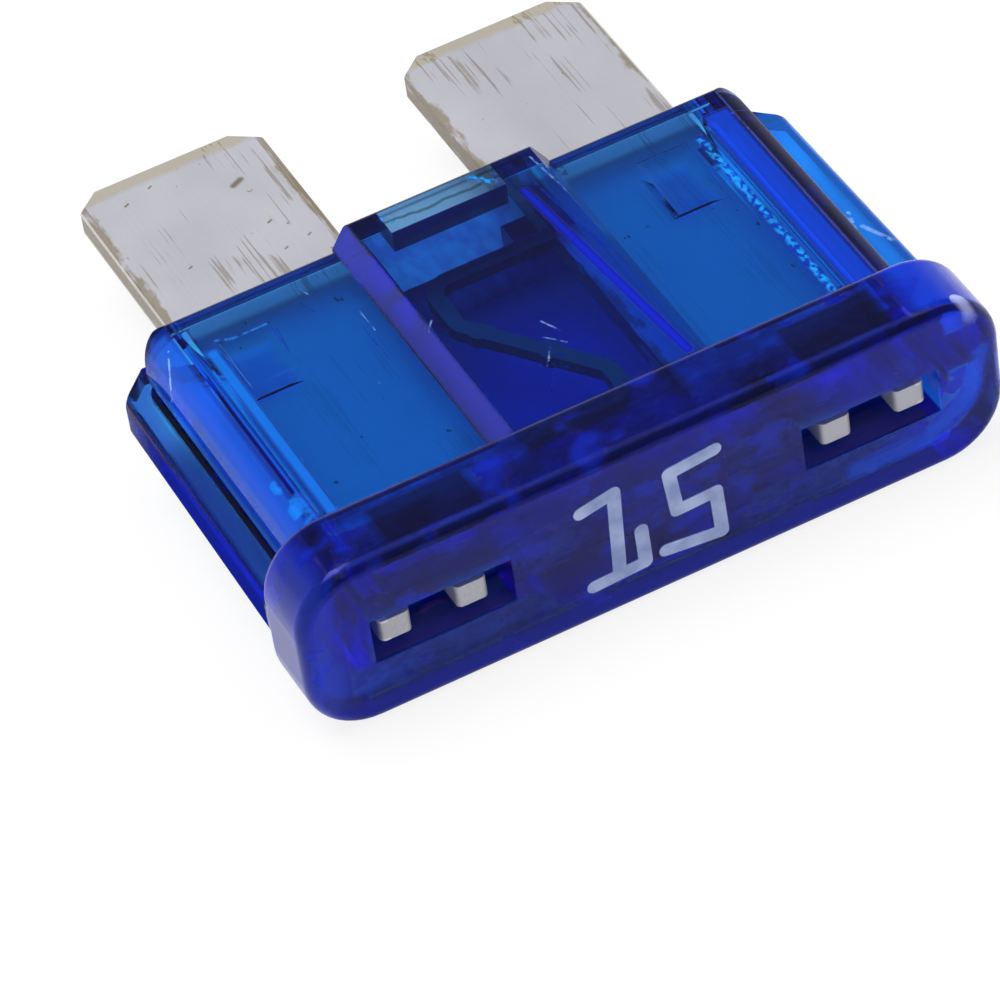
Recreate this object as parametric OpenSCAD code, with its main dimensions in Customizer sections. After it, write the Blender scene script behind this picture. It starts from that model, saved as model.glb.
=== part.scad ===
// Automotive blade fuse, regular size.
// It lies on its back: X runs across the two blades, Y from the head to the blade tips,
// and Z through the thickness, with the broad back face of the head on z = 0.
// Each piece is drawn standing on the head's top face, y = 0, about its mid-plane, z = 0.

/* [Head] */
// Width across the head
head_w = 19.1; // [18.6:0.1:20]
// Thickness of the head, front to back
head_t = 5.1; // [5:0.1:6]
// Length of the head along the fuse
head_l = 2.2; // [2:0.1:3.2]
// Corner radius of the head, seen on its top face
head_r = 1.75; // [1.2:0.05:2.2]
// Rounding of the edge round the top face
head_edge_r = 0.35; // [0.1:0.05:0.6]
// Rounding of the head's edge towards the panels
head_foot_r = 0.3; // [0.1:0.05:0.5]

/* [Body] */
// Length of the moulded housing, from its top face to its mouth
housing_l = 11.3; // [10.8:0.1:13]
// Width of the flat panels over the blades
panel_w = 15.45; // [15.3:0.05:16.2]
// Thickness from panel to panel
panel_t = 3.5; // [3:0.1:4]
// Width at the foot of the rounded sides
side_w = 17.1; // [16.6:0.1:17.5]
// Rounding of the panels' and the ribs' edges at the mouth
mouth_edge_r = 0.2; // [0.1:0.05:0.3]
// Radius of the sides' corners at the mouth
side_corner_r = 0.6; // [0.3:0.1:1]
// Thickness of the side fins
fin_t = 1.2; // [0.7:0.1:1.4]
// Radius along the fins' outer edges
fin_edge_r = 0.25; // [0.1:0.05:0.3]
// How far the fins stand short of the head's ends, where they meet it
fin_head_gap = 0.05; // [0:0.05:0.3]
// How far the fins stand short of the head's ends, at the mouth
fin_mouth_gap = 0.2; // [0.1:0.05:0.4]
// Chamfer of the fins at the mouth
fin_chamfer = 0.85; // [0.2:0.05:0.9]

/* [Rib] */
// Width of the face of the rib over the fuse link
rib_w = 5.1; // [4:0.1:5.6]
// Width of that rib at its foot on the panels
rib_foot_w = 6.05; // [5.7:0.05:7]
// Thickness from rib face to rib face
rib_t = 4.9; // [4.2:0.1:5]
// Width of the recess in the rib's mouth
recess_w = 3.2; // [2.4:0.1:3.6]
// Length of that recess
recess_l = 0.85; // [0.4:0.05:1.4]
// Place of the recess's middle, across
recess_x = -0.1; // [-0.2:0.05:0.2]
// Wall left outside that recess
recess_wall = 0.4; // [0.3:0.05:0.6]

/* [Slot and windows] */
// Thickness of the slot that holds the element
slot_t = 1.36; // [1:0.02:1.6]
// Play of the element at each end of the slot, whose ends are round
slot_play = 0.15; // [0.1:0.05:0.3]
// Wall between the slot and the top face
slot_roof = 1.1; // [0.7:0.1:1.6]
// Chamfer round the slot's mouth
lead_in = 0.05; // [0.05:0.05:0.3]
// Play of the test prongs in their window, on the middle's side
window_play_in = 0.6; // [0.2:0.05:0.9]
// Play of the test prongs in their window, on the outer side
window_play_out = 0.3; // [0.2:0.05:0.4]

/* [Stakes] */
// Distance from a blade's outer edge to the middle of its stakes
stake_in = 1.4; // [1.2:0.05:1.8]
// Distance from the mouth to the stakes
stake_mouth = 2.45; // [2.2:0.05:4]
// Sideways miss of the staking punches
stake_miss = -0.35; // [-0.4:0.05:0]
// Width of a stake's dimple
stake_w = 1.4; // [1.1:0.1:1.5]
// Length of a stake's dimple
stake_l = 1.9; // [1.2:0.1:2]
// Depth of a stake's dimple
stake_d = 0.15; // [0.1:0.05:0.35]
// Slope of a dimple's walls, measured across
stake_slope = 0.25; // [0.05:0.05:0.35]
// Play between the plastic that a stake pushes down and the blade
stake_play = 0.02; // [0.01:0.01:0.05]

/* [Blades] */
// Width of a blade
blade_w = 5.2; // [5:0.05:5.3]
// Thickness of the blades
blade_t = 0.65; // [0.5:0.05:0.8]
// Gap between the two blades
blade_gap = 4.1; // [4:0.05:4.3]
// Length of blade that stands out of the housing
blade_out_l = 7.2; // [5:0.1:9]
// Chamfer on the corners of a blade's tip
tip_chamfer = 0.7; // [0.3:0.1:1.2]
// Length of the thinned tip
tip_coin_l = 0.6; // [0.3:0.1:1]
// Thickness of the tip's end
tip_coin_t = 0.45; // [0.3:0.05:0.5]
// Depth of the relief in a blade's outer edge
relief_d = 0.55; // [0.3:0.05:0.9]
// Distance from the top face to the relief
relief_top = 3.8; // [3:0.1:5]
// Distance from the mouth to the relief
relief_mouth = 1; // [0.5:0.1:1.8]

/* [Test prongs] */
// How far the outer prong stands out past the blade's outer edge
prong_out = 0.2; // [0:0.05:0.25]
// Distance between the two prongs of a pair
prong_pitch = 2.05; // [1.6:0.05:2.1]
// Width of a prong
prong_w = 0.84; // [0.6:0.02:1]
// Corner radius of the prongs' ends
prong_r = 0.15; // [0.05:0.05:0.25]
// Depth of the prongs' ends below the top face
prong_sink = 0.2; // [0.05:0.05:0.4]
// Play between the element's shoulders and the end of the slot
shoulder_play = 0.05; // [0.05:0.05:0.3]

/* [Fuse link] */
// Width of the link
link_w = 0.44; // [0.3:0.02:0.6]
// Thickness of the link
link_t = 0.32; // [0.2:0.02:0.5]
// Distance from the top face to the leg that joins the left blade
link_left_y = 3.15; // [2.8:0.05:3.5]
// Distance from the top face to the leg that joins the right blade
link_right_y = 9.4; // [9:0.05:9.8]
// Reach of the link to each side of its own middle
link_reach = 1.2; // [0.9:0.05:1.3]
// Place of the link's middle, across
link_mid_x = -0.2; // [-0.3:0.05:0.3]
// Radius on the inside of the link's bends
link_bend_r = 0.35; // [0.1:0.05:0.4]
// Straight run after the bend near the mouth
link_run_left = 1.15; // [0.6:0.05:1.3]
// Straight run after the bend near the head
link_run_right = 0.55; // [0.3:0.05:0.8]
// Width of the two lumps on the slanting run
link_lump_w = 0.6; // [0.3:0.02:0.7]
// Place of the first lump, as a share of the slanting run
link_lump_first = 0.14; // [0.1:0.02:0.4]
// Place of the second lump, as a share of the slanting run
link_lump_second = 0.62; // [0.5:0.02:0.9]

/* [Hidden] */
$fn = 64;

// Distance by which cutters pass through the faces that they open
cut = 0.5;
// Distance by which joined forms run into each other
join = 0.3;

overall_l = housing_l + blade_out_l;

// Half widths of the element, which the slot and the windows follow
blade_in_x = blade_gap / 2;
blade_out_x = blade_in_x + blade_w;
element_half_w = blade_out_x + prong_out;
prong_in_x = element_half_w - prong_pitch - prong_w;
slot_half_w = element_half_w + slot_play;
shoulder_y = slot_roof + shoulder_play;

// A stake pushes the plastic over the blade down until only the play is left
stake_foot_d = (slot_t - blade_t) / 2 - stake_play;

// Turns a drawing so that what stands along Z lies along Y
module along_y() rotate([-90, 0, 0]) children();

// Lays a drawing down, with the middle of its outline over the origin
module lying() translate([0, -overall_l / 2, head_t / 2]) children();

module both_sides() {
    children();
    mirror([1, 0, 0]) children();
}

module both_faces() {
    children();
    mirror([0, 0, 1]) children();
}

// A box about the mid-plane, between two places along Y
module slab(half_w, t, y0, y1)
    translate([-half_w, y0, -t / 2]) cube([2 * half_w, y1 - y0, t]);

// A block with four flat slopes: w by l on z = 0, and narrower by slope all round on z = -d
module frustum(w, l, d, slope) {
    bottom_w = w - 2 * slope;
    bottom_l = l - 2 * slope;
    intersection() {
        translate([0, l / 2, 0]) rotate([90, 0, 0]) linear_extrude(l)
            polygon([[-w / 2, 0], [w / 2, 0], [bottom_w / 2, -d], [-bottom_w / 2, -d]]);
        translate([-w / 2, 0, 0]) rotate([90, 0, 90]) linear_extrude(w)
            polygon([[-l / 2, 0], [l / 2, 0], [bottom_l / 2, -d], [-bottom_l / 2, -d]]);
    }
}

// Head

// Section of the head, from the top face at 0 to the panels, with all its edges rounded
module head_profile(w) {
    translate([-w / 2, head_edge_r]) square([w, head_l - head_edge_r - head_foot_r]);
    translate([-w / 2 + head_edge_r, 0]) square([w - 2 * head_edge_r, head_l / 2]);
    translate([-w / 2 + head_foot_r, head_l / 2]) square([w - 2 * head_foot_r, head_l / 2]);
    for (side = [-1, 1]) {
        translate([side * (w / 2 - head_edge_r), head_edge_r]) circle(head_edge_r);
        translate([side * (w / 2 - head_foot_r), head_l - head_foot_r]) circle(head_foot_r);
    }
}

module head_corner() rotate_extrude() intersection() {
    head_profile(2 * head_r);
    square([head_r, head_l]);
}

module head_block() {
    straight_w = head_w - 2 * head_r;
    straight_t = head_t - 2 * head_r;
    along_y() {
        for (x = [-1, 1], z = [-1, 1])
            translate([x * straight_w / 2, z * straight_t / 2, 0]) head_corner();
        translate([-straight_w / 2, 0, 0]) rotate([90, 0, 90])
            linear_extrude(straight_w) head_profile(head_t);
        translate([0, straight_t / 2, 0]) rotate([90, 0, 0])
            linear_extrude(straight_t) head_profile(head_w);
    }
}

// Body

// Panels and rounded sides, seen along the fuse
module body_section() {
    rise = (panel_t - fin_t) / 2;
    reach = (side_w - panel_w) / 2;
    side_r = (reach * reach + rise * rise) / (2 * reach);
    core_w = panel_w - 2 * join;
    translate([-core_w / 2, -panel_t / 2]) square([core_w, panel_t]);
    translate([-side_w / 2, -fin_t / 2]) square([side_w, fin_t]);
    for (side = [-1, 1], face = [-1, 1]) intersection() {
        translate([side * (side_w / 2 - side_r), face * fin_t / 2]) circle(side_r);
        translate([side * side_w / 2, face * panel_t / 4])
            square([side_w - core_w + 2 * join, panel_t / 2], center = true);
    }
}

// Outline of the sides seen from the front, with round corners at the mouth
module body_outline() {
    half_w = side_w / 2;
    translate([-half_w, head_l / 2])
        square([side_w, housing_l - head_l / 2 - side_corner_r]);
    translate([-half_w + side_corner_r, head_l / 2])
        square([side_w - 2 * side_corner_r, housing_l - head_l / 2]);
    for (side = [-1, 1])
        translate([side * (half_w - side_corner_r), housing_l - side_corner_r])
            circle(side_corner_r);
}

// Side view of the body or the rib, t thick, with its edges at the mouth rounded
module side_profile(t) {
    translate([head_l / 2, -t / 2]) square([housing_l - head_l / 2 - mouth_edge_r, t]);
    translate([head_l / 2, -t / 2 + mouth_edge_r])
        square([housing_l - head_l / 2, t - 2 * mouth_edge_r]);
    for (face = [-1, 1])
        translate([housing_l - mouth_edge_r, face * (t / 2 - mouth_edge_r)]) circle(mouth_edge_r);
}

module in_side_profile(t) intersection() {
    children();
    translate([-head_w / 2, 0, 0]) rotate([90, 0, 90]) linear_extrude(head_w) side_profile(t);
}

module body_block() in_side_profile(panel_t) intersection() {
    along_y() linear_extrude(housing_l) body_section();
    translate([0, 0, -panel_t]) linear_extrude(2 * panel_t) body_outline();
}

// Section of a fin, with its round outer edges at x = 0
module fin_section(w) {
    translate([-w, -fin_t / 2]) square([w - fin_edge_r, fin_t]);
    translate([-w, -fin_t / 2 + fin_edge_r]) square([w, fin_t - 2 * fin_edge_r]);
    for (face = [-1, 1])
        translate([-fin_edge_r, face * (fin_t / 2 - fin_edge_r)]) circle(fin_edge_r);
}

// One side fin, from the head to the mouth, where it stands a little further in
module fin() {
    root_x = side_w / 2 - side_corner_r;
    fin_l = housing_l - head_l / 2;
    slant = atan((fin_mouth_gap - fin_head_gap) / fin_l);
    corner_y = housing_l - fin_chamfer - fin_mouth_gap;
    intersection() {
        translate([head_w / 2 - fin_head_gap, head_l / 2, 0]) rotate(slant)
            translate([0, -join, 0]) along_y() linear_extrude(fin_l + 2 * join)
                fin_section(head_w / 2 - root_x);
        translate([0, 0, -fin_t]) linear_extrude(2 * fin_t)
            polygon([[root_x, head_l / 2], [head_w / 2, head_l / 2], [head_w / 2, corner_y],
                     [head_w / 2 - fin_chamfer - fin_mouth_gap, housing_l],
                     [root_x, housing_l]]);
    }
}

// Rib over the fuse link, on both faces, with slanting walls
module rib() in_side_profile(rib_t) along_y() linear_extrude(housing_l) both_sides()
    polygon([[0, rib_t / 2], [rib_w / 2, rib_t / 2], [rib_foot_w / 2, panel_t / 2],
             [rib_foot_w / 2, -panel_t / 2], [rib_w / 2, -rib_t / 2], [0, -rib_t / 2]]);

// Hollows

// The slot for the element, with round ends and a chamfer all round its mouth
module slot() {
    end_x = slot_half_w - slot_t / 2;
    slab(end_x, slot_t, slot_roof, housing_l + cut);
    for (side = [-1, 1]) translate([side * end_x, slot_roof, 0])
        along_y() cylinder(h = housing_l + cut - slot_roof, d = slot_t);
    translate([0, housing_l, 0]) along_y()
        frustum(2 * (slot_half_w + lead_in), slot_t + 2 * lead_in, lead_in, lead_in);
}

module rib_recess() translate([recess_x, 0, 0])
    slab(recess_w / 2, rib_t - 2 * recess_wall, housing_l - recess_l, housing_l + cut);

module window() {
    x0 = prong_in_x - window_play_in;
    x1 = element_half_w + window_play_out;
    translate([x0, -cut, -slot_t / 2]) cube([x1 - x0, slot_roof + 2 * cut, slot_t]);
}

// Places of the four stakes
module at_stakes() for (side = [-1, 1])
    translate([side * (blade_out_x - stake_in) + stake_miss, housing_l - stake_mouth, 0])
        both_faces() children();

module stake_dimple() translate([0, 0, panel_t / 2])
    frustum(stake_w, stake_l, stake_d, stake_slope);

// The plastic that a stake pushes down onto the blade, under the slot's roof
module stake_foot() {
    translate([0, 0, slot_t / 2]) frustum(stake_w, stake_l, stake_foot_d, stake_slope);
    translate([-stake_w / 2, -stake_l / 2, slot_t / 2]) cube([stake_w, stake_l, join]);
}

module housing() color("mediumblue") lying() {
    difference() {
        union() {
            head_block();
            body_block();
            both_sides() fin();
            rib();
        }
        slot();
        rib_recess();
        both_sides() window();
        at_stakes() stake_dimple();
    }
    at_stakes() stake_foot();
}

// Element

// Right blade from its shoulder to its tip, with the relief in its outer edge
module blade_outline() {
    relief_x = blade_out_x - relief_d;
    relief_end = housing_l - relief_mouth;
    polygon([[blade_in_x, shoulder_y], [element_half_w, shoulder_y],
             [element_half_w, relief_top], [relief_x, relief_top],
             [relief_x, relief_end], [blade_out_x, relief_end],
             [blade_out_x, overall_l - tip_chamfer], [blade_out_x - tip_chamfer, overall_l],
             [blade_in_x + tip_chamfer, overall_l], [blade_in_x, overall_l - tip_chamfer]]);
}

module prong(x) translate([x, prong_sink]) {
    prong_l = shoulder_y - prong_sink + join;
    translate([0, prong_r]) square([prong_w, prong_l - prong_r]);
    translate([prong_r, 0]) square([prong_w - 2 * prong_r, prong_l]);
    for (corner_x = [prong_r, prong_w - prong_r])
        translate([corner_x, prong_r]) circle(prong_r);
}

// Side view of a blade: full thickness, thinned towards its tip
module blade_side() {
    half_t = blade_t / 2;
    coin_y = overall_l - tip_coin_l;
    polygon([[0, -half_t], [coin_y, -half_t], [overall_l, -tip_coin_t / 2],
             [overall_l, tip_coin_t / 2], [coin_y, half_t], [0, half_t]]);
}

module blades() intersection() {
    translate([0, 0, -blade_t]) linear_extrude(2 * blade_t) both_sides() {
        blade_outline();
        prong(prong_in_x);
        prong(prong_in_x + prong_pitch);
    }
    translate([-head_w / 2, 0, 0]) rotate([90, 0, 90]) linear_extrude(head_w) blade_side();
}

module link_leg(from, to) {
    run = to - from;
    translate(from) rotate(atan2(run.y, run.x)) translate([0, -link_w / 2])
        square([norm(run), link_w]);
}

// A quarter turn about the place at, which begins at the angle start
module link_bend(at, start) translate(at) intersection() {
    difference() {
        circle(link_bend_r + link_w);
        circle(link_bend_r);
    }
    rotate(start) square(link_bend_r + link_w);
}

// The S-shaped link from the left blade, near the head, to the right blade, near the mouth
module link_outline() {
    bend = link_bend_r + link_w / 2;
    left_x = link_mid_x - link_reach;
    right_x = link_mid_x + link_reach;
    knee_left = [left_x, link_right_y - bend - link_run_left];
    knee_right = [right_x, link_left_y + bend + link_run_right];
    link_leg([left_x + bend, link_right_y], [blade_in_x + join, link_right_y]);
    link_bend([left_x + bend, link_right_y - bend], 90);
    link_leg([left_x, link_right_y - bend], knee_left);
    link_leg(knee_left, knee_right);
    link_leg(knee_right, [right_x, link_left_y + bend]);
    link_bend([right_x - bend, link_left_y + bend], -90);
    link_leg([right_x - bend, link_left_y], [-blade_in_x - join, link_left_y]);
    for (knee = [knee_left, knee_right]) translate(knee) circle(link_w / 2);
    for (share = [link_lump_first, link_lump_second])
        translate(knee_left + share * (knee_right - knee_left)) circle(link_lump_w / 2);
}

module fuse_element() color("silver") lying() {
    blades();
    translate([0, 0, -link_t / 2]) linear_extrude(link_t) link_outline();
}

housing();
fuse_element();
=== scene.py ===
"""Looks of an automotive blade fuse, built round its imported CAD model."""
import math

import bmesh
import bpy
from mathutils import Matrix, Vector


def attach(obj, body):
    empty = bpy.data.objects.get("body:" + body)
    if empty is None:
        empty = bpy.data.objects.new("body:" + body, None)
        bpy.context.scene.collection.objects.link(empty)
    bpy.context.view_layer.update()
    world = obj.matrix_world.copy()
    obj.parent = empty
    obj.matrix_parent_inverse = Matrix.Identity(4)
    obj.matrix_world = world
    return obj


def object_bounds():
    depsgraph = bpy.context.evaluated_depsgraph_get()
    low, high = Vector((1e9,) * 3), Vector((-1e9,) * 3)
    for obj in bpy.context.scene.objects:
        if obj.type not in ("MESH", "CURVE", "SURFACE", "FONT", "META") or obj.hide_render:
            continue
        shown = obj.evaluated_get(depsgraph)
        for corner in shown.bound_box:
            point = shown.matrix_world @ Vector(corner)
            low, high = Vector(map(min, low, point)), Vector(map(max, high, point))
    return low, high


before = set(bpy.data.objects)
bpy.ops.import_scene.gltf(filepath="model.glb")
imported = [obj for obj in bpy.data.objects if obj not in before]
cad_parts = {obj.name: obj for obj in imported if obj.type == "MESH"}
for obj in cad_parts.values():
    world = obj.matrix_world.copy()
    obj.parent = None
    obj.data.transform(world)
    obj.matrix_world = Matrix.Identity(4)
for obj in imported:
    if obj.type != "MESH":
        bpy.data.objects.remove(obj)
cad_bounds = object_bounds()

MM = 0.001

# Camera, in millimetres and degrees
CAMERA_AT = (-44.77, -116.37, 113.21)
CAMERA_AIM = (-2.98, -6.6, 2.55)
CAMERA_ROLL = -9.26
CAMERA_LENS = 240.65

# Share of plain white in the floor, as the camera sees it and as it shows in and through the
# object
FLOOR_GLOW_SEEN = 0.85
FLOOR_GLOW_THROUGH = 0.06

# Rated current on the head, in millimetres from the middle of its top face: across and up
NUMERAL_STROKE = 0.37
NUMERAL_RISE = 0.02
NUMERAL_STEP = 0.004
NUMERAL_ROOT = 0.05
NUMERALS = {
    "numeral_1": [
        [(-2.04, 1.15), (-1.12, 1.34), (-1.24, -1.24)],
        [(-1.96, -1.34), (-0.53, -1.26), (-0.54, -0.21)],
    ],
    "numeral_5": [
        [(1.63, 1.31), (0.36, 1.17), (0.46, -0.08), (1.53, -0.03), (1.56, -1.36), (0.03, -1.19)],
    ],
}

# Scratches on the front, in millimetres from the middle: two ends and half the width of each
SCRATCHES = [
    ((2.39, 1.56), (2.5, 0.5), 0.04), ((2.5, 0.5), (2.6, -0.5), 0.03),
    ((2.6, -0.5), (2.74, -1.65), 0.05),
    ((-0.21, -3.99), (0.04, -4.56), 0.035), ((-0.44, -4.53), (-0.02, -5.03), 0.03),
    ((-0.44, -4.96), (-0.8, -5.53), 0.035), ((-2.41, -2.45), (-2.6, -2.71), 0.035),
    ((-4.36, 1.26), (-4.21, 0.76), 0.022), ((-3.46, -0.42), (-3.45, -1.23), 0.022),
    ((-8.01, 1.14), (-8.48, 0.15), 0.03), ((8.8, -2.93), (8.55, -3.93), 0.07),
    ((8.85, -3.56), (9.23, -4.45), 0.07), ((-4.21, -2.97), (-4.2, -3.06), 0.03),
]

# Painted light in the plastic, as lines in the same form: beside the left stake, at the ends of
# the recess, on the wall of the rib, at the foot of the left slope and on the head's right end
SQUIGGLE = [((-6.9, 0.68), (-6.45, 0.5), 0.06), ((-6.45, 0.5), (-5.6, 0.52), 0.06)]
STAKE_GLINT = ((-5.55, 0.2), (-5.7, -1.1), 0.14)
RECESS_END_GLINTS = [((-1.78, 1.62), (-1.6, 1.38), 0.09), ((0.78, 1.72), (1.2, 1.26), 0.13)]
RIB_LINE = ((1.68, 0.5), (2.3, -6.9), 0.15)
SLOPE_FOOT_GLINT = ((-7.75, -3.9), (-7.75, -6.2), 0.3)
HIGHLIGHT = ((8.6, -9.0), (8.8, -9.3), 0.22)

# The same on the head's top face, across and up: round the right window
FACE_RING = [((5.3, 1.15), (7.3, 1.15), 0.4), ((7.3, 1.15), (8.5, 1.9), 0.4),
             ((8.5, 1.9), (8.95, 3.1), 0.35)]

# Specks on the left blade, in millimetres from the middle: place, and half the width
SPECKS = [(-3.37, 7.27, 0.13), (-5.32, 8.45, 0.04), (-6.11, 8.15, 0.05), (-3.32, 5.47, 0.05),
          (-3.4, 4.32, 0.04), (-5.76, 5.04, 0.04), (-2.68, 4.46, 0.04)]

# Places on the model, in millimetres from its middle: long edges and faces of the blades, end
# of the head, panels, sides, fins, mouth of the housing, slot and recess in the mouth, and the
# stakes
BLADE_INNER = 2.05
BLADE_OUTER = 7.25
BLADE_HALF_T = 0.325
HEAD_END = -7.05
PANEL_EDGE = 7.725
SIDE_EDGE = 8.2
FIN_START = 8.6
MOUTH = 2.05
CHAMBER_HALF_W = 2.6
SLOT_HALF_T = 0.68
RECESS_HALF_W = 1.75
RECESS_HALF_T = 2.05
RECESS_LENGTH = 0.85
STAKE_X = (-6.2, 5.5)
STAKE_Y = -0.4
STAKE_HALF_W = 0.82
STAKE_HALF_L = 1.07

# Height over the back face from which a place is on the front half, in millimetres
FRONT_Z = 2.9

# Share of a line's half width over which it fades out
LINE_FADE = 0.7

# Times that a milky place takes its colour sooner than it loses its clearness
EARLY = 5.0

# Clear blue plastic: bend of light, tint of its reflections, and colour and density of its body
PLASTIC_IOR = 1.6
REFLECTION_TINT = (0.15, 0.18, 0.9, 1.0)
BODY_COLOUR = (0.02, 0.755, 0.992, 1.0)
BODY_DENSITY = 2450.0
PLAIN_TINT = (0.98, 0.99, 1.0, 1)

# Share of a surface's sideways slope that stays at the stakes, and the way that a fin's side
# is lit from
SLOPE_KEPT = 0.12
FIN_SIDE_NORMAL = (-0.6, -0.25, 0.76)


# Node helpers

def new_material(name):
    """An empty node material, with its tree and its output."""
    material = bpy.data.materials.new(name)
    material.use_nodes = True
    tree = material.node_tree
    tree.nodes.clear()
    return material, tree, tree.nodes.new("ShaderNodeOutputMaterial")


def node(tree, kind, inputs=None, **settings):
    """A node with its settings and inputs. An input that is a socket is linked."""
    made = tree.nodes.new(kind)
    for key, value in settings.items():
        setattr(made, key, value)
    for key, value in (inputs or {}).items():
        if isinstance(value, bpy.types.NodeSocket):
            tree.links.new(value, made.inputs[key])
        else:
            made.inputs[key].default_value = value
    return made


def math_node(tree, operation, a, b=0.0, c=0.0):
    return node(tree, "ShaderNodeMath", {0: a, 1: b, 2: c}, operation=operation).outputs[0]


def mix_colour(tree, factor, a, b):
    return node(tree, "ShaderNodeMix", {0: factor, 6: a, 7: b}, data_type="RGBA").outputs[2]


def mix_vector(tree, factor, a, b):
    mixed = node(tree, "ShaderNodeMix", {0: factor, 4: a, 5: b}, data_type="VECTOR").outputs[1]
    return node(tree, "ShaderNodeVectorMath", {0: mixed}, operation="NORMALIZE").outputs["Vector"]


def clamped(tree, value, factor, offset):
    """value * factor + offset, kept between 0 and 1."""
    return node(tree, "ShaderNodeMath", {0: value, 1: factor, 2: offset},
                operation="MULTIPLY_ADD", use_clamp=True).outputs[0]


def fade(tree, value, limit, width):
    """1 where value lies below limit by width or more, and 0 above limit."""
    return clamped(tree, math_node(tree, "SUBTRACT", limit, value), 1.0 / width, 0.0)


def above(tree, value, low, soft):
    """0 where value, in metres, lies below low, and 1 from soft over it on: millimetres."""
    return clamped(tree, value, 1.0 / (soft * MM), -low / soft)


def under(tree, value, high, soft):
    """0 where value, in metres, lies above high, and 1 from soft below it on: millimetres."""
    return clamped(tree, value, -1.0 / (soft * MM), high / soft)


def between(tree, value, low, high, soft):
    """1 where value, in metres, lies between low and high, which fade over soft: millimetres."""
    off = math_node(tree, "SUBTRACT", value, (low + high) / 2 * MM)
    return under(tree, math_node(tree, "ABSOLUTE", off), (high - low) / 2, soft)


def near_lines(tree, flat, *lines):
    """1 near any of the lines: two ends and half the width of each, in millimetres."""
    least = None
    for start, end, half in lines:
        start = Vector((*start, 0)) * MM
        span = Vector((*end, 0)) * MM - start
        share = node(tree, "ShaderNodeVectorMath", {0: flat, 1: span / span.length_squared},
                     operation="DOT_PRODUCT").outputs["Value"]
        share = clamped(tree, share, 1.0, -start.dot(span) / span.length_squared)
        nearest = node(tree, "ShaderNodeVectorMath", {0: share, 1: span, 2: start},
                       operation="MULTIPLY_ADD").outputs["Vector"]
        away = node(tree, "ShaderNodeVectorMath", {0: flat, 1: nearest},
                    operation="DISTANCE").outputs["Value"]
        away = math_node(tree, "MULTIPLY", away, 1 / (half * MM))
        least = away if least is None else math_node(tree, "MINIMUM", least, away)
    return clamped(tree, least, -1 / LINE_FADE, 1 / LINE_FADE)


def all_of(tree, first, *others):
    for other in others:
        first = math_node(tree, "MULTIPLY", first, other)
    return first


def ramp(tree, factor, stops):
    made = node(tree, "ShaderNodeValToRGB", {"Fac": factor})
    elements = made.color_ramp.elements
    while len(elements) < len(stops):
        elements.new(0.5)
    for element, (at, colour) in zip(elements, stops):
        element.position = at
        element.color = colour
    return made.outputs["Color"]


def grey(value):
    return (value, value, value, 1.0)


def noise(tree, scale, detail=4.0, roughness=0.5):
    """Noise whose cells are about 1 / scale metres long on each axis."""
    coords = tree.nodes.new("ShaderNodeTexCoord").outputs["Object"]
    placed = node(tree, "ShaderNodeVectorMath", {0: coords, 1: scale},
                  operation="MULTIPLY").outputs["Vector"]
    return node(tree, "ShaderNodeTexNoise",
                {"Vector": placed, "Scale": 1.0, "Detail": detail,
                 "Roughness": roughness}).outputs["Fac"]


# Materials

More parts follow.
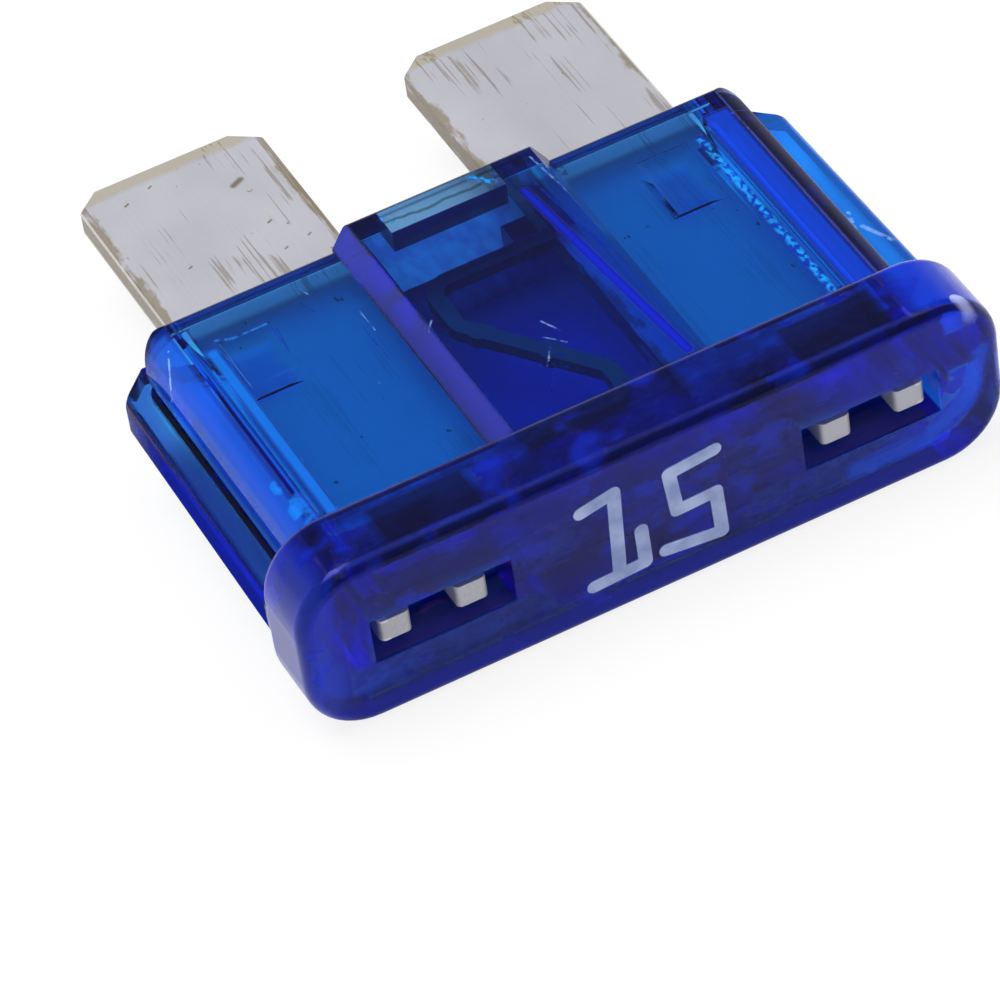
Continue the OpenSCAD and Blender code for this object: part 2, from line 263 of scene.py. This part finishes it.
def clear_blue_plastic():
    """Tinted clear moulding, cloudy in its head, with painted shade along its edges and in its
    hollows, and painted light in milky places.
    """
    material, tree, output = new_material("clear_blue_plastic")
    coords = tree.nodes.new("ShaderNodeTexCoord").outputs["Object"]
    place = node(tree, "ShaderNodeSeparateXYZ", {0: coords}).outputs
    across = place["X"]
    along = place["Y"]
    from_middle = math_node(tree, "ABSOLUTE", across)
    from_plane = math_node(tree, "ABSOLUTE",
                           math_node(tree, "SUBTRACT", place["Z"], cad_bounds[1].z / 2))
    in_front = above(tree, place["Z"], FRONT_Z, 0.1)
    beside_head = between(tree, along, HEAD_END + 0.1, MOUTH - 0.3, 0.15)
    on_right = above(tree, across, 0, 0.1)
    on_left = under(tree, across, 0, 0.1)
    flow = noise(tree, (300, 180, 300), detail=3.0)
    tint = node(tree, "ShaderNodeRGB").outputs[0]
    tint.default_value = PLAIN_TINT

    # Head: cloudy and darkened as painted shade, more so towards the panels, and clearer and
    # lighter at its right end as painted light
    in_head = under(tree, along, HEAD_END - 0.02, 0.1)
    clouds = noise(tree, (700, 1300, 1300), detail=4.0, roughness=0.55)
    foot = above(tree, along, HEAD_END - 1.1, 0.5)
    clouds = math_node(tree, "MULTIPLY_ADD", foot, -0.1, clouds)
    head_clouds_and_shade = ramp(tree, clouds, [(0.34, (0.14, 0.07, 0.22, 1)), (0.5, (0.5, 0.3, 0.66, 1)),
                                (0.62, (0.9, 0.65, 1.0, 1))])
    lit_right_end = above(tree, across, 7.3, 0.3)
    head_clouds_and_shade = mix_colour(tree, lit_right_end, head_clouds_and_shade, (0.8, 0.75, 1.0, 1))
    # Painted shade: near black over the windows
    shade_over_window = all_of(tree, above(tree, from_plane, 2.2, 0.05),
                         between(tree, from_middle, 4.1, 7.0, 0.25),
                         between(tree, along, -9.1, -7.5, 0.2))
    head_clouds_and_shade = mix_colour(tree, shade_over_window, head_clouds_and_shade, (0.03, 0.02, 0.04, 1))
    # Painted shade along the back of the head, where it lies on the floor
    shade_at_back = all_of(tree, under(tree, place["Z"], 0.4, 0.05),
                     under(tree, along, -7.6, 0.3))
    head_clouds_and_shade = mix_colour(tree, shade_at_back, head_clouds_and_shade, (0.5, 0.22, 0.9, 1))
    # Painted shade along the foot of the head, where it meets the panels
    shade_at_foot = all_of(tree, above(tree, from_plane, 1.8, 0.05),
                     between(tree, along, HEAD_END - 0.4, HEAD_END + 0.05, 0.15),
                     between(tree, across, -7.4, 7.0, 0.5))
    head_clouds_and_shade = mix_colour(tree, shade_at_foot, head_clouds_and_shade, (0.12, 0.09, 0.3, 1))
    tint = mix_colour(tree, in_head, tint, head_clouds_and_shade)

    # Windows in the head: painted shade
    in_window = all_of(tree, between(tree, from_middle, 3.5, 7.9, 0.05),
                       under(tree, from_plane, SLOT_HALF_T + 0.05, 0.03),
                       between(tree, along, -9.2, -8.1, 0.02))
    tint = mix_colour(tree, in_window, tint, (0.8, 0.16, 0.45, 1))

    # Fins: painted shade in long streaks on the left one, the right one plain
    in_fin = all_of(tree, above(tree, from_middle, FIN_START, 0.1),
                    above(tree, along, HEAD_END + 0.05, 0.1))
    fin_streaks = noise(tree, (1500, 120, 1500), detail=3.0)
    fin = ramp(tree, fin_streaks, [(0.35, (0.7, 0.3, 0.62, 1)), (0.65, (0.8, 0.62, 0.8, 1))])
    fin = mix_colour(tree, on_right, fin, PLAIN_TINT)
    tint = mix_colour(tree, in_fin, tint, fin)

    # Painted shade: a dark line along the edges of the panels, wider where it ends at the head
    line_end = under(tree, along, HEAD_END + 0.75, 0.4)
    line_half = math_node(tree, "MULTIPLY_ADD", line_end, 0.00006, 0.00008)
    line_x = math_node(tree, "MULTIPLY_ADD", on_right, (SIDE_EDGE - PANEL_EDGE) * MM,
                       (PANEL_EDGE + 0.13) * MM)
    off_edge = math_node(tree, "ABSOLUTE", math_node(tree, "SUBTRACT", from_middle, line_x))
    edge_shade_line = all_of(tree, fade(tree, off_edge, line_half, 0.00005),
                     in_front,
                     between(tree, along, HEAD_END + 0.25, MOUTH - 0.35, 0.15))
    edge_share = math_node(tree, "MULTIPLY_ADD", on_right, 0.45, 0.5)
    tint = mix_colour(tree, math_node(tree, "MULTIPLY", edge_shade_line, edge_share), tint,
                      (0.02, 0.015, 0.05, 1))

    # Walls of the slot near its mouth: painted shade, mottled between the blades and plainly
    # darker over them
    on_slot = under(tree, from_plane, SLOT_HALF_T + 0.05, 0.02)
    between_blades = under(tree, from_middle, CHAMBER_HALF_W, 0.1)
    shade_mottle = noise(tree, (2200, 1100, 2200), detail=3.0)
    chamber_shade = ramp(tree, shade_mottle, [(0.4, (0.8, 0.05, 0.18, 1)), (0.65, (0.8, 0.14, 0.32, 1))])
    in_chamber = all_of(tree, on_slot, between_blades, above(tree, along, MOUTH - 3.2, 0.8))
    tint = mix_colour(tree, in_chamber, tint, chamber_shade)
    shade_over_blades = all_of(tree, on_slot, above(tree, from_middle, CHAMBER_HALF_W, 0.1),
                         above(tree, along, MOUTH - 1.6, 1.3))
    tint = mix_colour(tree, shade_over_blades, tint, (0.6, 0.3, 0.6, 1))

    # Rim of the mouth: painted shade, two dark lines with a paler one between
    to_mouth = math_node(tree, "SUBTRACT", MOUTH * MM, along)
    rim_shade_lines = ramp(tree, math_node(tree, "DIVIDE", to_mouth, 0.0006),
               [(0.0, (0.02, 0.02, 0.04, 1)), (0.28, (0.02, 0.02, 0.04, 1)),
                (0.36, (0.6, 0.7, 0.8, 1)), (0.5, (0.6, 0.7, 0.8, 1)),
                (0.56, (0.2, 0.2, 0.25, 1)), (0.64, (0.2, 0.2, 0.25, 1)),
                (0.75, (0.8, 0.85, 0.9, 1)), (1.0, PLAIN_TINT)])
    on_rim = all_of(tree, under(tree, to_mouth, 0.6, 0.05),
                    above(tree, from_plane, 1.5, 0.05))
    tint = mix_colour(tree, on_rim, tint, rim_shade_lines)

    # Recess in the mouth: painted shade, with a dark wavy line across
    in_recess = all_of(tree, under(tree, from_middle, RECESS_HALF_W + 0.05, 0.05),
                       between(tree, from_plane, SLOT_HALF_T + 0.05, RECESS_HALF_T + 0.05, 0.03),
                       above(tree, along, MOUTH - RECESS_LENGTH - 0.05, 0.02))
    wave = noise(tree, (900, 50, 900), detail=4.0, roughness=0.6)
    line_y = math_node(tree, "MULTIPLY_ADD", wave, 0.0004, (MOUTH - 0.48 - 0.2) * MM)
    off_line = math_node(tree, "ABSOLUTE", math_node(tree, "SUBTRACT", along, line_y))
    on_line = fade(tree, off_line, 0.00008, 0.00005)
    recess_shade_and_line = mix_colour(tree, on_line, (0.12, 0.15, 0.32, 1), (0.02, 0.03, 0.04, 1))
    tint = mix_colour(tree, in_recess, tint, recess_shade_and_line)

    # Painted shade in the corners of the rib, either side of the recess
    shade_in_corner = all_of(tree, between(tree, from_middle, RECESS_HALF_W + 0.1, 3.1, 0.1),
                       above(tree, from_plane, 1.3, 0.1),
                       above(tree, along, MOUTH - 0.9, 0.3))
    tint = mix_colour(tree, math_node(tree, "MULTIPLY", shade_in_corner, 0.85), tint,
                      (0.05, 0.03, 0.1, 1))

    # Slanting walls of the rib: a little matt
    on_wall = all_of(tree, between(tree, from_plane, 1.78, 2.42, 0.03),
                     between(tree, from_middle, 2.4, 3.2, 0.05),
                     above(tree, along, HEAD_END + 0.05, 0.05))

    # Painted shade on the outer part of the right side, and a dark blotch on the edge of the head
    on_right_side = all_of(tree, between(tree, across, PANEL_EDGE + 0.03, FIN_START, 0.08),
                           in_front,
                           between(tree, along, HEAD_END + 0.05, MOUTH - 0.2, 0.1))
    tint = mix_colour(tree, math_node(tree, "MULTIPLY", on_right_side, 0.9), tint,
                      (0.04, 0.03, 0.12, 1))
    at_blotch = all_of(tree, between(tree, across, 2.65, 3.75, 0.3),
                       above(tree, place["Z"], 4.55, 0.2),
                       under(tree, along, -8.7, 0.2))
    tint = mix_colour(tree, at_blotch, tint, (0.02, 0.015, 0.01, 1))

    # Whitened scratches
    flat = node(tree, "ShaderNodeVectorMath", {0: coords, 1: (1, 1, 0)},
                operation="MULTIPLY").outputs["Vector"]
    scratched = near_lines(tree, flat, *SCRATCHES)
    ragged = fade(tree, noise(tree, (5000, 5000, 5000), detail=3.0), 0.6, 0.2)
    scratched = all_of(tree, scratched, ragged, in_front)

    # Milky places that scatter the light: how much, and in what colour. Nearly all are painted
    # light; the left fin's side, the bottom of the head's top face and the windows get painted
    # shade; the scratches are real wear.
    on_front_panel = all_of(tree, between(tree, from_plane, 1.72, 1.8, 0.01), in_front)
    glint_specks = fade(tree, noise(tree, (7000, 5000, 7000), detail=2.0), 0.56, 0.16)
    glint_patches = fade(tree, noise(tree, (1100, 1600, 1600), detail=2.0), 0.46, 0.08)
    light_blobs = fade(tree, noise(tree, (800, 1100, 1100), detail=3.0), 0.42, 0.1)
    left_stripe = all_of(tree, on_front_panel, between(tree, across, -7.33, -7.0, 0.08),
                         between(tree, along, -6.6, 0.45, 0.1))
    right_stripe = all_of(tree, on_front_panel, between(tree, across, 6.42, 6.7, 0.1),
                          between(tree, along, -6.7, 0.6, 0.1))
    squiggle = near_lines(tree, flat, *SQUIGGLE)
    stake_edge = near_lines(tree, flat, STAKE_GLINT)
    glints_at_recess_ends = near_lines(tree, flat, *RECESS_END_GLINTS)
    on_fin_side = all_of(tree, under(tree, across, -9.35, 0.05),
                         above(tree, along, HEAD_END + 0.05, 0.05))
    on_face = node(tree, "ShaderNodeCombineXYZ", {"X": across, "Y": place["Z"]}).outputs[0]
    face_ring = near_lines(tree, on_face, *FACE_RING)
    glint_at_slope_foot = all_of(tree, near_lines(tree, flat, SLOPE_FOOT_GLINT), glint_patches, in_front)
    painted_light_shade_and_scratches = [
        # painted light: bright blue band along the right panel's edge
        (all_of(tree, on_front_panel, between(tree, across, 6.95, PANEL_EDGE, 0.12),
                between(tree, along, -6.8, 1.2, 0.15)), 0.5, (0.003, 0.07, 0.75, 1)),
        # painted light: bright blue on the left slope beside the head
        (all_of(tree, between(tree, across, -8.55, -PANEL_EDGE - 0.03, 0.15), in_front,
                beside_head), 0.45, (0.015, 0.13, 0.75, 1)),
        # painted light: glint at the foot of the left slope
        (glint_at_slope_foot, 0.5, (0.01, 0.25, 0.95, 1)),
        # painted light: stripe along the left blade's edge
        (left_stripe, 0.6, (0.005, 0.2, 0.85, 1)),
        # painted light: stripe along the right blade's edge, then painted glints along it
        (right_stripe, 0.25, (0.003, 0.1, 0.8, 1)),
        (all_of(tree, right_stripe, glint_specks), 0.6, (0.01, 0.4, 1.0, 1)),
        # painted light: bright blue in the right fin beside the head
        (all_of(tree, above(tree, across, 8.6, 0.1), in_front, beside_head), 0.3,
         (0.02, 0.25, 0.9, 1)),
        # painted shade: dull blue on the left fin's outer side, in place of its reflection
        (on_fin_side, 0.45, (0.01, 0.03, 0.65, 1)),
        # painted glints at the ends of the recess
        (all_of(tree, glints_at_recess_ends, glint_specks, above(tree, place["Z"], 4.7, 0.05)), 0.7,
         (0.02, 0.35, 1.0, 1)),
        # painted highlight: squiggle beside the left stake
        (all_of(tree, squiggle, on_front_panel, glint_specks), 0.5, (0.02, 0.3, 1.0, 1)),
        # painted glint at the left stake's edge
        (all_of(tree, stake_edge, on_front_panel), 0.25, (0.01, 0.16, 0.7, 1)),
        # painted light: band on the left wall of the rib
        (all_of(tree, on_wall, on_left, in_front), 0.3,
         (0.03, 0.055, 0.6, 1)),
        # painted light: blue line along the right edge of the rib
        (all_of(tree, near_lines(tree, flat, RIB_LINE),
                above(tree, place["Z"], 4.9, 0.05)), 0.5, (0.003, 0.02, 0.7, 1)),
        # painted light: bright blue at the head's right end
        (all_of(tree, above(tree, across, 7.2, 0.5), above(tree, place["Z"], 3.9, 0.6),
                between(tree, along, -9.1, HEAD_END + 0.2, 0.2)), 0.6, (0.004, 0.05, 0.72, 1)),
        # painted light: blue at the head's left end
        (all_of(tree, under(tree, across, -8.4, 0.5), in_head), 0.35,
         (0.02, 0.05, 0.55, 1)),
        # painted light: spots in the head, away from the windows
        (all_of(tree, light_blobs, in_head, math_node(tree, "SUBTRACT", 1.0, shade_over_window)), 0.3,
         (0.004, 0.03, 0.6, 1)),
        # painted light: ring round the right window on the head's top face
        (all_of(tree, face_ring, under(tree, along, -9.15, 0.1)), 0.4,
         (0.004, 0.09, 0.8, 1)),
        # painted shade: deep blue along the bottom of the head's top face
        (all_of(tree, under(tree, place["Z"], 0.9, 0.3), under(tree, along, -8.8, 0.1)),
         0.3, (0.008, 0.012, 0.5, 1)),
        # painted highlight on the head's right end
        (all_of(tree, near_lines(tree, flat, HIGHLIGHT),
                above(tree, place["Z"], 4.2, 0.4)), 0.45, (0.55, 0.6, 1.0, 1)),
        (scratched, 0.45, (0.25, 0.5, 1.0, 1)),
        # painted shade in the windows
        (in_window, 0.05, (0.5, 0.12, 0.4, 1)),
    ]
    clear = 1.0
    for mask, share, colour in painted_light_shade_and_scratches:
        tint = mix_colour(tree, math_node(tree, "MULTIPLY", mask, EARLY), tint, colour)
        left = math_node(tree, "MULTIPLY_ADD", mask, -share, 1.0)
        clear = math_node(tree, "MULTIPLY", left, clear)

    # Bent by the stakes only a little; fins and right side lit as in one piece with the rest
    bump = node(tree, "ShaderNodeBump", {"Height": flow, "Strength": 0.1, "Distance": 0.0001})
    bent = bump.outputs["Normal"]
    upright = node(tree, "ShaderNodeVectorMath", {0: bent, 1: (SLOPE_KEPT, SLOPE_KEPT, 1.0)},
                   operation="MULTIPLY").outputs["Vector"]
    at_stake = math_node(tree, "ADD",
                         *[between(tree, across, x - STAKE_HALF_W, x + STAKE_HALF_W, 0.01)
                           for x in STAKE_X])
    at_stake = all_of(tree, at_stake, between(tree, from_plane, 0.33, 1.74, 0.005),
                      between(tree, along, STAKE_Y - STAKE_HALF_L, STAKE_Y + STAKE_HALF_L, 0.01))
    flattened = math_node(tree, "MAXIMUM", at_stake,
                          math_node(tree, "MULTIPLY", on_right_side, 0.6))
    bent = mix_vector(tree, flattened, bent, upright)
    bent = mix_vector(tree, on_fin_side, bent, FIN_SIDE_NORMAL)

    rough = math_node(tree, "MULTIPLY_ADD", in_recess, 0.08, 0.02)
    rough = math_node(tree, "MULTIPLY_ADD", in_head, 0.16, rough)
    rough = math_node(tree, "MULTIPLY_ADD", on_wall, 0.15, rough)
    surface = node(tree, "ShaderNodeBsdfPrincipled",
                   {"Base Color": tint, "Roughness": rough,
                    "IOR": PLASTIC_IOR, "Transmission Weight": clear,
                    "Specular Tint": REFLECTION_TINT, "Normal": bent})
    inside = node(tree, "ShaderNodeVolumeAbsorption",
                  {"Color": BODY_COLOUR, "Density": BODY_DENSITY})
    tree.links.new(surface.outputs[0], output.inputs["Surface"])
    tree.links.new(inside.outputs[0], output.inputs["Volume"])
    return material


def stamped_zinc():
    """Rolled strip: matt grey, brown along its edges and tip, with long scratches and specks."""
    material, tree, output = new_material("stamped_zinc")
    coords = tree.nodes.new("ShaderNodeTexCoord").outputs["Object"]
    place = node(tree, "ShaderNodeSeparateXYZ", {0: coords}).outputs
    from_middle = math_node(tree, "ABSOLUTE", place["X"])
    patches = noise(tree, (350, 250, 350), detail=4.0)
    tone = ramp(tree, patches, [(0.3, (0.41, 0.41, 0.455, 1)), (0.7, (0.46, 0.46, 0.505, 1))])
    bare = above(tree, place["Y"], MOUTH - 0.3, 0.3)
    in_body = math_node(tree, "MULTIPLY", above(tree, place["Y"], HEAD_END, 0.2),
                        math_node(tree, "SUBTRACT", 1.0, bare))
    # Painted light: lighter and bluer where the blade lies inside the housing
    tone = mix_colour(tree, in_body, tone, (0.47, 0.5, 0.62, 1))

    # Brown along the long edges and on the thinned tip
    to_inner = math_node(tree, "SUBTRACT", from_middle, BLADE_INNER * MM)
    to_outer = math_node(tree, "SUBTRACT", BLADE_OUTER * MM, from_middle)
    to_edge = math_node(tree, "MINIMUM", to_inner, to_outer)
    mottle = noise(tree, (1500, 500, 1500), detail=5.0, roughness=0.65)
    edge_reach = math_node(tree, "MULTIPLY_ADD", mottle, 0.0014, -0.00052)
    edge_stain = fade(tree, to_edge, edge_reach, 0.00012)
    to_tip = math_node(tree, "SUBTRACT", cad_bounds[1].y, place["Y"])
    tip_reach = math_node(tree, "MULTIPLY_ADD", mottle, 0.0005, 0.0003)
    tip_stain = fade(tree, to_tip, tip_reach, 0.00015)
    edge_stain = math_node(tree, "MULTIPLY", edge_stain,
                           above(tree, place["Y"], HEAD_END - 0.2, 0.2))
    colour = mix_colour(tree, math_node(tree, "MULTIPLY", edge_stain, 0.7), tone,
                        (0.2, 0.15, 0.07, 1))
    colour = mix_colour(tree, math_node(tree, "MULTIPLY", tip_stain, 0.7), colour,
                        (0.42, 0.37, 0.27, 1))

    # Groups of long scratches, and specks
    scratches = noise(tree, (13000, 150, 13000), detail=2.0, roughness=0.6)
    groups = noise(tree, (600, 300, 600), detail=3.0)
    level = math_node(tree, "MULTIPLY_ADD", groups, 1.1, -0.18)
    by_edge = fade(tree, to_edge, 0.00055, 0.0005)
    level = math_node(tree, "MULTIPLY_ADD", by_edge, 0.13, level)
    lines = fade(tree, scratches, level, 0.04)
    line_share = math_node(tree, "MULTIPLY_ADD", bare, 0.4, 0.15)
    colour = mix_colour(tree, math_node(tree, "MULTIPLY", lines, line_share), colour,
                        (0.17, 0.13, 0.07, 1))
    specks = noise(tree, (3300, 2000, 3300), detail=2.0)
    spots = fade(tree, specks, 0.27, 0.03)
    colour = mix_colour(tree, math_node(tree, "MULTIPLY", spots, 0.8), colour,
                        (0.2, 0.14, 0.05, 1))

    # Single brown specks on the left blade
    flat = node(tree, "ShaderNodeVectorMath", {0: coords, 1: (1, 1, 0)},
                operation="MULTIPLY").outputs["Vector"]
    for x, y, half in SPECKS:
        speck = near_lines(tree, flat, ((x - half, y), (x + half, y + half), half))
        colour = mix_colour(tree, math_node(tree, "MULTIPLY", speck, 0.8), colour,
                            (0.12, 0.08, 0.02, 1))

    # Painted highlight on the burr along the upper and lower corner of the outer edge
    from_plane = math_node(tree, "ABSOLUTE",
                           math_node(tree, "SUBTRACT", place["Z"], cad_bounds[1].z / 2))
    burr_highlight = math_node(tree, "MULTIPLY",
                          math_node(tree, "GREATER_THAN", from_plane, (BLADE_HALF_T - 0.07) * MM),
                          math_node(tree, "LESS_THAN", to_outer, 0.04 * MM))
    colour = mix_colour(tree, math_node(tree, "MULTIPLY", burr_highlight, 0.5), colour,
                        (0.8, 0.8, 0.8, 1))

    # Link: darker and greener
    in_link = under(tree, from_middle, BLADE_INNER - 0.02, 0.02)
    colour = mix_colour(tree, in_link, colour, (0.19, 0.25, 0.15, 1))
    bump = node(tree, "ShaderNodeBump",
                {"Height": scratches, "Strength": 0.2, "Distance": 0.00002})
    surface = node(tree, "ShaderNodeBsdfPrincipled",
                   {"Base Color": colour,
                    "Metallic": 0.45,
                    "Roughness": math_node(tree, "MULTIPLY_ADD", patches, 0.15, 0.42),
                    "Normal": bump.outputs["Normal"]})
    tree.links.new(surface.outputs[0], output.inputs["Surface"])
    return material


def numeral_paint():
    """Pale ink of the numerals, worn a little thin in places."""
    material, tree, output = new_material("numeral_paint")
    wear = noise(tree, (1800, 1800, 1800), detail=4.0)
    colour = ramp(tree, wear, [(0.35, (0.19, 0.25, 0.5, 1)), (0.65, (0.36, 0.43, 0.68, 1))])
    surface = node(tree, "ShaderNodeBsdfPrincipled", {"Base Color": colour, "Roughness": 0.45})
    tree.links.new(surface.outputs[0], output.inputs["Surface"])
    return material


# Numerals

def arc(centre, radius, start, sweep, steps=8):
    return [(centre[0] + radius * math.cos(start + sweep * k / steps),
             centre[1] + radius * math.sin(start + sweep * k / steps)) for k in range(steps + 1)]


def thick_line(path, half):
    """Outline of a bent line of width 2 * half, round at its ends and outside its bends."""
    ring = []
    for run in (path, path[::-1]):
        before = None
        for a, b in zip(run, run[1:]):
            heading = math.atan2(b[1] - a[1], b[0] - a[0])
            if before is None:
                ring += arc(a, half, heading + math.pi / 2, math.pi)
            else:
                turn = (heading - before + math.pi) % (2 * math.pi) - math.pi
                if turn > 0:
                    ring += arc(a, half, before - math.pi / 2, turn)
                else:
                    inner = before + (turn - math.pi) / 2
                    ring += arc(a, half / math.cos(turn / 2), inner, 0, 1)[:1]
            before = heading
    return ring


def add_numeral(name, paths, material):
    """Raised strokes on the head's top face, which faces -Y."""
    mesh = bpy.data.meshes.new(name)
    bm = bmesh.new()
    top = cad_bounds[0].y
    middle_z = (cad_bounds[0].z + cad_bounds[1].z) / 2
    for i, path in enumerate(paths):
        # Each stroke stands a little lower than the one before, so that no two faces fight
        rise = NUMERAL_RISE - i * NUMERAL_STEP
        ring = thick_line(path, NUMERAL_STROKE / 2)
        face = bm.faces.new([bm.verts.new((x * MM, top - rise * MM, middle_z + z * MM))
                             for x, z in ring])
        made = bmesh.ops.extrude_face_region(bm, geom=[face])["geom"]
        bmesh.ops.translate(bm, verts=[v for v in made if isinstance(v, bmesh.types.BMVert)],
                            vec=(0, (rise + NUMERAL_ROOT) * MM, 0))
    bmesh.ops.recalc_face_normals(bm, faces=bm.faces)
    bm.to_mesh(mesh)
    bm.free()
    mesh.materials.append(material)
    piece = bpy.data.objects.new(name, mesh)
    bpy.context.scene.collection.objects.link(piece)
    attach(piece, "root")


# Stage

def build_floor():
    """Floor that looks white past the object and keeps its shadow."""
    material, tree, output = new_material("floor_white")
    plain = node(tree, "ShaderNodeBsdfDiffuse", {"Color": grey(0.8)}).outputs[0]
    glow = node(tree, "ShaderNodeEmission", {"Color": grey(1.0), "Strength": 1.0}).outputs[0]
    path = tree.nodes.new("ShaderNodeLightPath").outputs
    through = math_node(tree, "MAXIMUM", path["Is Glossy Ray"], path["Is Transmission Ray"])
    share = math_node(tree, "MULTIPLY", through, FLOOR_GLOW_THROUGH)
    share = math_node(tree, "MULTIPLY_ADD", path["Is Camera Ray"], FLOOR_GLOW_SEEN, share)
    shown = node(tree, "ShaderNodeMixShader", {0: share, 1: plain, 2: glow}).outputs[0]
    tree.links.new(shown, output.inputs["Surface"])
    half = 1.5
    low = cad_bounds[0].z
    mesh = bpy.data.meshes.new("floor")
    corners = [(-half, -half, low), (half, -half, low), (half, half, low), (-half, half, low)]
    mesh.from_pydata(corners, [], [(0, 1, 2, 3)])
    mesh.materials.append(material)
    floor = bpy.data.objects.new("floor", mesh)
    bpy.context.scene.collection.objects.link(floor)


def build_world():
    """Studio dome: a soft box overhead, a pale horizon, and dim between them at the back."""
    world = bpy.data.worlds.new("studio")
    bpy.context.scene.world = world
    world.use_nodes = True
    tree = world.node_tree
    tree.nodes.clear()
    coords = tree.nodes.new("ShaderNodeTexCoord").outputs["Generated"]
    place = node(tree, "ShaderNodeSeparateXYZ", {0: coords}).outputs
    back = ramp(tree, place["Z"], [(0.0, grey(0.45)), (0.3, grey(0.4)), (0.45, grey(0.2)),
                                   (0.84, grey(0.2)), (0.92, grey(1.0))])
    front = ramp(tree, place["Z"], [(0.0, grey(0.3)), (0.84, grey(0.4)), (0.92, grey(1.0))])
    side = node(tree, "ShaderNodeMath", {0: place["Y"], 1: 2.0, 2: 0.5},
                operation="MULTIPLY_ADD", use_clamp=True).outputs[0]
    dome = mix_colour(tree, side, front, back)
    lit = node(tree, "ShaderNodeBackground", {"Color": dome, "Strength": 1.75}).outputs[0]
    plain = node(tree, "ShaderNodeBackground", {"Color": grey(1.0), "Strength": 1.0}).outputs[0]
    path = tree.nodes.new("ShaderNodeLightPath").outputs
    shown = node(tree, "ShaderNodeMixShader",
                 {0: path["Is Camera Ray"], 1: lit, 2: plain}).outputs[0]
    output = tree.nodes.new("ShaderNodeOutputWorld")
    tree.links.new(shown, output.inputs["Surface"])


def add_lamp(name, at, aim, size, power):
    """A soft square lamp. Places are in metres, power in watts."""
    data = bpy.data.lights.new(name, "AREA")
    data.size = size
    data.energy = power
    lamp = bpy.data.objects.new(name, data)
    lamp.location = at
    lamp.rotation_euler = (Vector(aim) - Vector(at)).to_track_quat("-Z", "Y").to_euler()
    bpy.context.scene.collection.objects.link(lamp)


def add_camera():
    data = bpy.data.cameras.new("camera")
    data.lens = CAMERA_LENS
    data.sensor_width = 36.0
    data.clip_start = 0.005
    data.clip_end = 10.0
    camera = bpy.data.objects.new("camera", data)
    at = Vector(CAMERA_AT) * MM
    turn = (Vector(CAMERA_AIM) * MM - at).to_track_quat("-Z", "Y").to_matrix()
    roll = Matrix.Rotation(math.radians(CAMERA_ROLL), 3, "Z")
    camera.matrix_world = Matrix.Translation(at) @ (turn @ roll).to_4x4()
    bpy.context.scene.collection.objects.link(camera)
    bpy.context.scene.camera = camera


def dress(name, material):
    """Gives a CAD node its material."""
    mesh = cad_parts[name].data
    mesh.materials.clear()
    mesh.materials.append(material)


add_camera()
build_floor()
build_world()
add_lamp("key", (-0.15, 0.1, 0.5), (0, 0, 0), 0.3, 2.0)
dress("housing", clear_blue_plastic())
dress("fuse_element", stamped_zinc())
paint = numeral_paint()
for numeral, strokes in NUMERALS.items():
    add_numeral(numeral, strokes, paint)

bpy.context.scene.view_settings.view_transform = "Standard"
